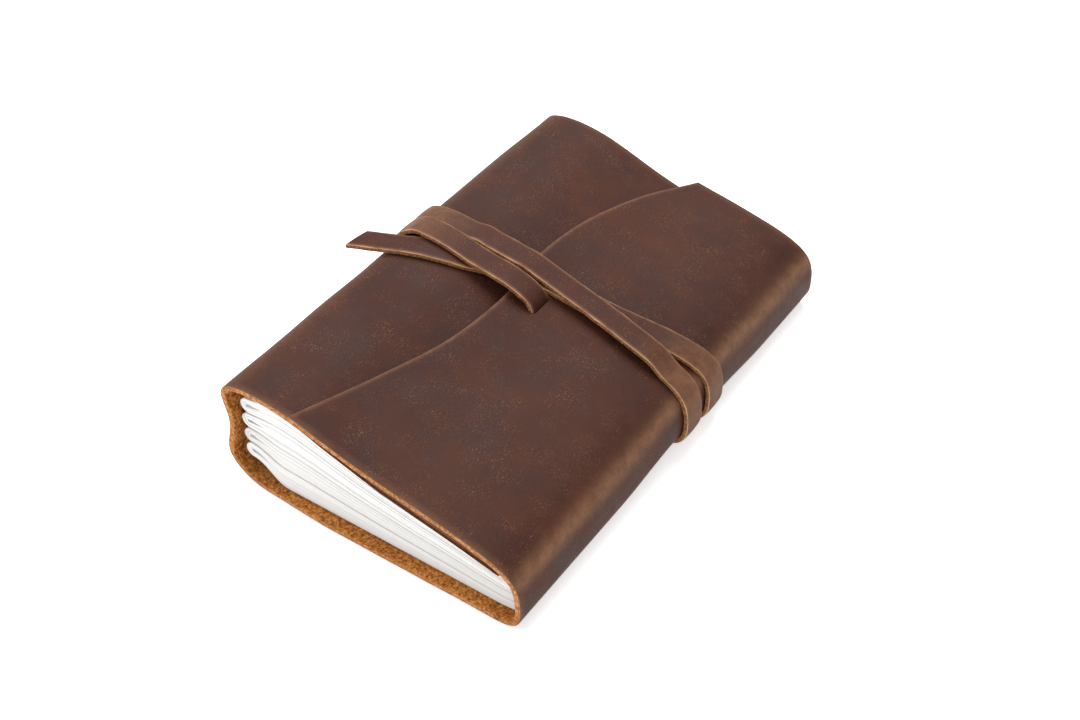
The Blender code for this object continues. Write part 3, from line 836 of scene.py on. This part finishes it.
cuts = [0.0] + [(a + b) / 2 for a, b in zip(bend_at[:-1], bend_at[1:])] + [strap_end]
strap_pieces = []
for k, (start, end) in enumerate(zip(cuts[:-1], cuts[1:])):
    piece = strap_piece(f"strap_turn_{k + 1}", start, end, k == 0, k == len(bend_at) - 1)
    strap_pieces.append(settle(piece, strap_grain, hide_flesh, strap_cut))

# %% [markdown]
# ## Paper
# Paper is nearly white and quite matt. Each leaf is a slightly different tone, because the edges of
# a trimmed block catch the light differently, and there are faint fibres in it.

# %% The paper's finish
paper, g, shader = new_finish("paper", 0.9, Specular_IOR_Level=0.2)
where = g.add("ShaderNodeTexCoord", output=3)
tone = g.attribute("tone")
TONES = (0.0, (0.70, 0.69, 0.675)), (0.4, (0.77, 0.765, 0.752)), (1.0, (0.81, 0.805, 0.795))
sheet_colour = g.ramp(tone, *TONES)
fibres = g.noise(g.stretched(where, (1, 1, 0.3)), 900.0, 5.0, 0.7)
paper_colour = g.mix(g.math("MULTIPLY", g.band(fibres, 0.55, 0.8), 0.25), sheet_colour, (0.76, 0.75, 0.73))
wire(g, shader, Base_Color=paper_colour, Normal=g.bump(fibres, 0.00012, 0.4))

# %% [markdown]
# ## Leaves
# A bundle is a stack of sheets folded together, each inside the last. All of them lie between two
# hairpin curves: the outermost sheet and the innermost. So one sheet is modelled that knows both of
# its extreme places, and Geometry Nodes copy it and put each copy a step further in. The number of
# sheets, how ragged they are and the seed are inputs of the tree.

# %% One sheet that knows its outermost and innermost place
BLOCK_FROM = -33.0
SIGNATURES, SHEETS = 4, 11


def inner_face(panel, upto, x):
    """The height of a panel's inner face at x."""
    here = (hide_length >= BENDS[panel] - 1e-6) & (hide_length <= BENDS[upto] + 1e-6)
    face = hide_path[here] - HIDE * hide_side[here]
    face = face[np.argsort(face[:, 0])]
    return np.interp(x, face[:, 0], face[:, 1])


def between(k, x, fold_z):
    """The height of the surface under bundle k at x, which is at fold_z by the fold."""
    low = inner_face("back", "fore_edge", x) + 0.39
    high = inner_face("front", "spine", x) - 0.39
    flat = low + (high - low) * k / SIGNATURES
    return fold_z + (flat - fold_z) * ease((x - FOLD_X) / (BLOCK_FROM - FOLD_X))


def hairpins(k):
    """The outermost and the innermost sheet's way in and out of the fold, as (x, z)."""
    z = FOLD_Z + k * FOLD_PITCH
    x = np.concatenate([np.linspace(FOLD_X, -31, 12), np.linspace(-28, PAGE_END, 19)])
    low = between(k, x, z - FOLD_R) + (0.1 if k else 0)
    high = between(k + 1, x, z + FOLD_R) - (0.1 if k < SIGNATURES - 1 else 0)
    heart = (low + high) / 2
    angle = np.radians(np.linspace(270, 90, 13))[1:-1]
    round_in = np.stack([np.cos(angle), np.sin(angle)], axis=1)
    outermost, innermost = [], []
    for way_in, height in ((outermost, low), (innermost, np.minimum(heart, low + (heart - low) * 0.985))):
        way_in.append(np.stack([x, height], axis=1)[::-1])
    near_fold = ease((x - FOLD_X) / 7)
    innermost[0][:, 1] = (heart - 0.62 * (1 - near_fold) - 0.03)[::-1]
    outermost.append([FOLD_X, z] + FOLD_R * round_in)
    innermost.append([FOLD_X, z] + 0.65 * round_in)
    outermost.append(np.stack([x, high], axis=1))
    innermost.append(np.stack([x, heart + 0.62 * (1 - near_fold) + 0.03], axis=1))
    return np.concatenate(outermost), np.concatenate(innermost)


def sheet_model(k):
    """A closed thin sheet, with its outermost and innermost place stored on its points."""
    outermost, innermost = hairpins(k)
    rows = np.linspace(-PAGE_HALF, PAGE_HALF, 25)
    m = len(outermost)
    places = []
    for curve in (outermost, innermost):
        grid = np.stack([np.column_stack([curve[:, 0], np.full(m, y), curve[:, 1]]) for y in rows])
        places.append((pressed(grid) + [MIDDLE, 0, 0]) * MM)
    n = len(rows)
    first = np.arange(n * m).reshape(n, m)
    rings = np.concatenate([first, (first + n * m)[:, ::-1]], axis=1)
    faces = join_rings(rings).tolist() + end_cap(rings[0]) + end_cap(rings[-1])
    points = np.concatenate([places[0].reshape(-1, 3)] * 2)
    mesh = bpy.data.meshes.new(f"sheet_{k + 1}")
    mesh.from_pydata(points.tolist(), [], faces)
    for name, value in (("outermost", places[0]), ("innermost", places[1])):
        stored = mesh.attributes.new(name, "FLOAT_VECTOR", "POINT")
        both_faces = np.concatenate([value.reshape(-1, 3)] * 2)
        stored.data.foreach_set("vector", both_faces.astype(np.float32).ravel())
    store(mesh, "second_face", np.repeat([0.0, 1.0], n * m))
    obj = bpy.data.objects.new(f"sheet_{k + 1}", mesh)
    bpy.context.collection.objects.link(obj)
    return obj


# %% The tree that fills a bundle with sheets


def new_tree(name, inputs):
    """A Geometry Nodes tree with these inputs, given as (name, socket kind, default)."""
    tree = bpy.data.node_groups.new(name, "GeometryNodeTree")
    tree.interface.new_socket("Geometry", in_out="INPUT", socket_type="NodeSocketGeometry")
    for label, kind, default in inputs:
        socket = tree.interface.new_socket(label, in_out="INPUT", socket_type=kind)
        if default is not None:
            socket.default_value = default
    tree.interface.new_socket("Geometry", in_out="OUTPUT", socket_type="NodeSocketGeometry")
    g = Graph(tree)
    group_in = tree.nodes.new("NodeGroupInput").outputs
    return tree, g, group_in


def close_tree(tree, g, geometry, material):
    """Ends a tree in Realize Instances and Set Material."""
    real = g.add("GeometryNodeRealizeInstances", Geometry=geometry)
    done = g.add("GeometryNodeSetMaterial", Geometry=real, Material=material)
    tree.links.new(done, tree.nodes.new("NodeGroupOutput").inputs[0])


def grown(name, obj, tree, values):
    """Runs a tree on an object and gives back the result as a plain mesh object."""
    modifier = obj.modifiers.new("grow", "NODES")
    modifier.node_group = tree
    for item in tree.interface.items_tree:
        if item.in_out == "INPUT" and item.name in values:
            modifier[item.identifier] = values[item.name]
    graph = bpy.context.evaluated_depsgraph_get()
    mesh = bpy.data.meshes.new_from_object(obj.evaluated_get(graph))
    bpy.data.objects.remove(obj)
    result = bpy.data.objects.new(name, mesh)
    bpy.context.collection.objects.link(result)
    return result


bundle_tree, g, given = new_tree(
    "bundle of sheets",
    [
        ("Sheets", "NodeSocketInt", SHEETS),
        ("Sheet Share", "NodeSocketFloat", 0.985),
        ("Ragged", "NodeSocketFloat", 0.0001),
        ("Seed", "NodeSocketInt", 3),
        ("Paper", "NodeSocketMaterial", None),
    ],
)
marks = g.add("GeometryNodeMeshLine", Count=given["Sheets"], Offset=(0, 0, 0))
copies = g.add("GeometryNodeInstanceOnPoints", Points=marks, Instance=given["Geometry"])
real = g.add("GeometryNodeRealizeInstances", Geometry=g.numbered(copies, "sheet"))
which = g.stored("sheet")
second = g.stored("second_face")
step = g.math("ADD", g.math("ADD", which, 0.12), g.math("MULTIPLY", second, given["Sheet Share"]))
share = g.math("DIVIDE", step, given["Sheets"])
outermost, innermost = (g.stored(name, "FLOAT_VECTOR") for name in ("outermost", "innermost"))
apart = g.vector("SUBTRACT", in0=innermost, in1=outermost)
placed = g.vector("ADD", in0=outermost, in1=g.vector("SCALE", in0=apart, Scale=share))
sideways = {"in0": (-1, -1, 0), "in1": (1, 1, 0), "ID": which, "Seed": given["Seed"]}
chance = g.add("FunctionNodeRandomValue", props={"data_type": "FLOAT_VECTOR"}, **sideways)
stray = g.vector("SCALE", in0=chance, Scale=given["Ragged"])
moved = g.add("GeometryNodeSetPosition", Geometry=real, Position=placed, Offset=stray)
shade_seed = g.math("ADD", given["Seed"], 5.0)
shade = g.add("FunctionNodeRandomValue", output=1, props={"data_type": "FLOAT"}, ID=which, Seed=shade_seed)
toned = g.add("GeometryNodeStoreNamedAttribute", Geometry=moved, Name="tone", Value=shade)
close_tree(bundle_tree, g, toned, given["Paper"])

# %% Fill the bundles
bundles = []
for k in range(SIGNATURES):
    values = {"Sheets": SHEETS, "Seed": 3 + k, "Paper": paper}
    bundles.append(settle(grown(f"bundle_of_leaves_{k + 1}", sheet_model(k), bundle_tree, values), paper))

# %% [markdown]
# ## Thread
# The thread is waxed linen laid up from three strands. A tree takes the thread's way as a curve,
# copies it once for each strand, winds the copies round the way, and gives each a round section.

# %% Linen and the tree that lays up a thread
linen, g, shader = new_finish("linen", 0.7, Specular_IOR_Level=0.35)
where = g.add("ShaderNodeTexCoord", output=3)
hairs = g.noise(where, 2600.0, 4.0, 0.7)
linen_colour = g.ramp(hairs, (0.3, (0.36, 0.29, 0.19)), (0.7, (0.66, 0.57, 0.43)))
wire(g, shader, Base_Color=linen_colour, Normal=g.bump(hairs, 0.0001, 0.5))
thread_tree, g, given = new_tree(
    "laid thread",
    [
        ("Strands", "NodeSocketInt", 3),
        ("Turns Per Metre", "NodeSocketFloat", 420.0),
        ("Strand Radius", "NodeSocketFloat", 0.00021),
        ("Lay Radius", "NodeSocketFloat", 0.00019),
        ("Linen", "NodeSocketMaterial", None),
    ],
)
by_length = {"mode": "LENGTH"}
even_way = g.add("GeometryNodeResampleCurve", props=by_length, Curve=given["Geometry"], Length=0.0004)
marks = g.add("GeometryNodeMeshLine", Count=given["Strands"], Offset=(0, 0, 0))
copies = g.add("GeometryNodeInstanceOnPoints", Points=marks, Instance=even_way)
real = g.add("GeometryNodeRealizeInstances", Geometry=g.numbered(copies, "strand"))
which = g.stored("strand")
gone = g.add("GeometryNodeSplineParameter", output=1)
head_start = g.math("DIVIDE", which, given["Strands"])
turns = g.math("ADD", g.math("MULTIPLY", gone, given["Turns Per Metre"]), head_start)
angle = g.math("MULTIPLY", turns, 2 * math.pi)
side_one = g.add("GeometryNodeInputNormal")
side_two = g.vector("CROSS_PRODUCT", in0=g.add("GeometryNodeInputTangent"), in1=side_one)
one = g.vector("SCALE", in0=side_one, Scale=g.math("COSINE", angle))
two = g.vector("SCALE", in0=side_two, Scale=g.math("SINE", angle))
aside = g.vector("SCALE", in0=g.vector("ADD", in0=one, in1=two), Scale=given["Lay Radius"])
wound = g.add("GeometryNodeSetPosition", Geometry=real, Offset=aside)
section = g.add("GeometryNodeCurvePrimitiveCircle", Resolution=6, Radius=given["Strand Radius"])
strands = g.add("GeometryNodeCurveToMesh", Curve=wound, Profile_Curve=section, Fill_Caps=True)
close_tree(thread_tree, g, strands, given["Linen"])

# %% Sew the bundles
THREAD = 0.4


def thread_way(k):
    """In at the outer holes, along the outside of the spine to the next, and inside the fold."""
    z = FOLD_Z + k * FOLD_PITCH
    out = float(np.interp(-z, -spine_line[:, 1], spine_line[:, 0])) - 0.3 - THREAD
    first, second, third, last = STITCH_HOLES

    def hole(y, outwards):
        way_out = [(FOLD_X, y - 0.7), (FOLD_X - 0.25, y - 0.15), (FOLD_X - 0.9, y)]
        way_out += [(out + 0.9, y), (out + 0.25, y + 0.15), (out, y + 0.7)]
        return way_out if outwards else [(x, 2 * y - other) for x, other in way_out][::-1]

    def run(x, start, end):
        return [(x, y) for y in np.linspace(start, end, 6)[1:-1]]

    way_round = [(FOLD_X, first - 9)] + hole(first, True) + run(out, first, second) + hole(second, False)
    way_round += run(FOLD_X, second, third) + hole(third, True) + run(out, third, last) + hole(last, False)
    way_round += [(FOLD_X, last + 9)]
    return pressed(np.array([(x, y, z) for x, y in way_round]))


threads = []
for k in range(SIGNATURES):
    curve = bpy.data.curves.new(f"thread_way_{k + 1}", "CURVE")
    curve.dimensions = "3D"
    spline = curve.splines.new("POLY")
    points = (thread_way(k) + [MIDDLE, 0, 0]) * MM
    spline.points.add(len(points) - 1)
    spline.points.foreach_set("co", np.column_stack([points, np.ones(len(points))]).ravel())
    way_object = bpy.data.objects.new(f"thread_way_{k + 1}", curve)
    bpy.context.collection.objects.link(way_object)
    threads.append(settle(grown(f"sewing_{k + 1}", way_object, thread_tree, {"Linen": linen}), linen))

# %% [markdown]
# ## What moves with what
# For each band of the hide and each piece of the strap the two points either side of its bend are
# worked out, and the parts of the model that the new pieces stand for are hidden. Each bundle of
# leaves hangs on its own body.

# %% Hang the bundles on their bodies, and hide the model's parts that the new pieces replace


def bend_span(field, distances, s, half):
    """Two points either side of a bend, in metres."""
    middle = np.array([np.interp(s, distances, field[:, i]) for i in range(3)])
    before = np.array([np.interp(s - 3 * half, distances, field[:, i]) for i in range(3)])
    after = np.array([np.interp(s + 3 * half, distances, field[:, i]) for i in range(3)])
    along = (after - before) / np.linalg.norm(after - before)
    shift = np.array([MIDDLE, 0, 0])
    return tuple((middle - along * half + shift) * MM), tuple((middle + along * half + shift) * MM)


hide_3d = np.column_stack([hide_path[:, 0], np.zeros(len(hide_path)), hide_path[:, 1]])
for piece, one, other, bend, nodes in (
    (cover_band, "front", "spine", "spine", ("front_cover", "spine_cover")),
    (back_band, "spine", "back", "back", ("back_cover",)),
    (fore_band, "back", "fore_edge", "fore_edge", ("fore_edge_cover",)),
    (flap_band, "fore_edge", "flap", "flap", ("flap",)),
):
    start, end = bend_span(hide_3d, hide_length, BENDS[bend], 2.6)
    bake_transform(piece)
    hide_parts(*nodes)
THREAD_BENDS = FOLD_X - 2.9, FOLD_X - 5.2
names = [name for name, _, _ in RUNS]
for k, piece in enumerate(strap_pieces):
    start, end = bend_span(line, even, bend_at[k], 2.2)
    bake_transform(piece)
    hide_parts(*(["strap_top_1"] if k == 0 else []), names[k + 1])
for k in range(SIGNATURES):
    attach(bundles[k], f"bundle_{k + 1}")
    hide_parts(f"signature_{k + 1}")
    fold_z = FOLD_Z + k * FOLD_PITCH
    start, end = (tuple(np.array([x + MIDDLE, 0, fold_z]) * MM) for x in THREAD_BENDS)
    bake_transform(threads[k])
    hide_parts(f"thread_{k + 1}")

# %% [markdown]
# ## The hide as a sheet
# The hide is leather cut from the flat.


# %% [markdown]
# ## Floor and light
# The book lies on a plain pale table under soft light. One big lamp overhead makes the broad soft
# shine on the leather, a second from the left fills the near end, and the pale surroundings keep
# the shadows light.

# %% Floor, lamps and surroundings
floor_mesh = bpy.data.meshes.new("table_top")
floor_mesh.from_pydata([(-4, -4, 0), (4, -4, 0), (4, 4, 0), (-4, 4, 0)], [], [(0, 1, 2, 3)])
floor = bpy.data.objects.new("table_top", floor_mesh)
bpy.context.collection.objects.link(floor)
pale, g, shader = new_finish("pale_table", 0.85, Base_Color=(0.93, 0.93, 0.93, 1), Specular_IOR_Level=0.1)
shader.inputs["Emission Color"].default_value = (1, 1, 1, 1)
shader.inputs["Emission Strength"].default_value = 0.5
floor_mesh.materials.append(pale)
floor.location.z = -0.0002
floor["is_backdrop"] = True


def lamp(name, place, target, size, watts):
    """A square soft lamp that faces the target."""
    light = bpy.data.lights.new(name, "AREA")
    light.size, light.energy = size, watts
    obj = bpy.data.objects.new(name, light)
    obj.location = place
    obj.rotation_euler = (Vector(target) - Vector(place)).to_track_quat("-Z", "Y").to_euler()
    bpy.context.collection.objects.link(obj)


lamp("overhead_lamp", (-0.35, 0.55, 1.15), (0, 0, 0), 0.9, 17.0)
lamp("left_lamp", (-1.0, -0.75, 0.75), (0, 0, 0.02), 0.8, 6.0)
lamp("front_lamp", (0.5, -1.2, 0.9), (0, 0, 0.02), 0.7, 2.5)
surroundings = bpy.data.worlds.new("surroundings")
surroundings.use_nodes = True
surroundings.node_tree.nodes["Background"].inputs[0].default_value = (1, 1, 1, 1)
surroundings.node_tree.nodes["Background"].inputs[1].default_value = 0.62
bpy.context.scene.world = surroundings
bpy.context.scene.view_settings.view_transform = "Standard"

# %% Print the sizes and finish
shown_box = [list(corner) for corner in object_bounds()]
for label, box in (("model", cad_box), ("shown", shown_box)):
    print(label, [round((b - a) / MM, 1) for a, b in zip(*box)], "mm")
